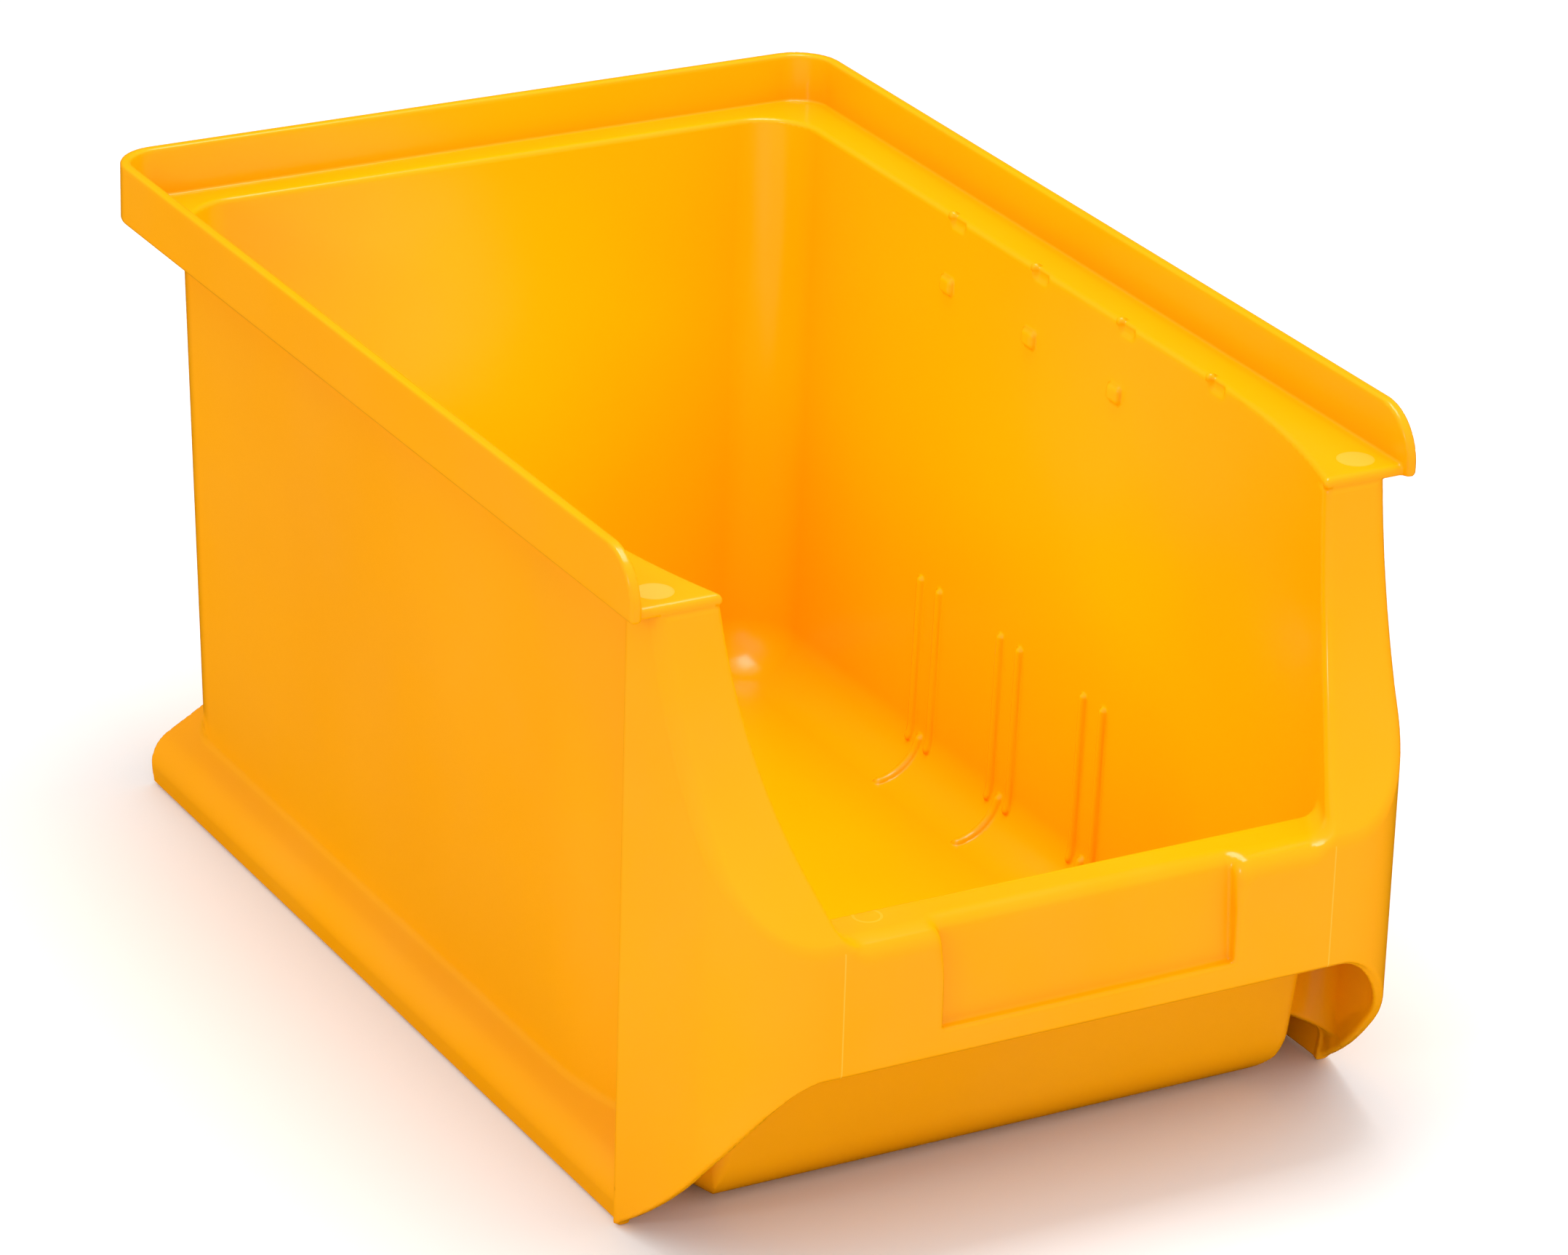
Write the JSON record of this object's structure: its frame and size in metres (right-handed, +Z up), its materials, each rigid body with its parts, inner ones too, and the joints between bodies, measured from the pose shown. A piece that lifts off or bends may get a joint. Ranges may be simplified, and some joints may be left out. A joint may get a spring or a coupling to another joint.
{
  "type": "hanging parts bin",
  "caption": "Open-fronted stacking and hanging storage bin with a curved scoop front, label recess, raised rim over a stacking ledge, foot rails and a rear hanging lip.",
  "frame": {"origin": "middle of the footprint, on the surface the bin stands on", "axes": "X across the width, +Y to the back where the hanging lip is, -Y to the open front, +Z up"},
  "size_m": [0.15, 0.235, 0.125],
  "materials": {
    "yellow_polypropylene": "semi-gloss moulded polypropylene"
  },
  "bodies": {
    "root": {"floor_plate": "yellow_polypropylene", "left_side_wall": "yellow_polypropylene", "right_side_wall": "yellow_polypropylene", "left_rear_corner": "yellow_polypropylene", "right_rear_corner": "yellow_polypropylene", "back_wall": "yellow_polypropylene", "left_cheek_wall": "yellow_polypropylene", "right_cheek_wall": "yellow_polypropylene", "front_wall": "yellow_polypropylene", "front_lip": "yellow_polypropylene", "front_panel": "yellow_polypropylene", "label_seat": "yellow_polypropylene", "left_corner_skin": "yellow_polypropylene", "right_corner_skin": "yellow_polypropylene", "left_scoop_edge": "yellow_polypropylene", "right_scoop_edge": "yellow_polypropylene", "left_corner_web": "yellow_polypropylene", "right_corner_web": "yellow_polypropylene", "left_stacking_ledge": "yellow_polypropylene", "right_stacking_ledge": "yellow_polypropylene", "back_stacking_ledge": "yellow_polypropylene", "left_rim": "yellow_polypropylene", "right_rim": "yellow_polypropylene", "back_rim": "yellow_polypropylene", "hanging_lip": "yellow_polypropylene", "left_foot_rail": "yellow_polypropylene", "right_foot_rail": "yellow_polypropylene", "left_divider_ribs": "yellow_polypropylene", "right_divider_ribs": "yellow_polypropylene", "left_divider_pips": "yellow_polypropylene", "right_divider_pips": "yellow_polypropylene"}
  },
  "joints": []
}
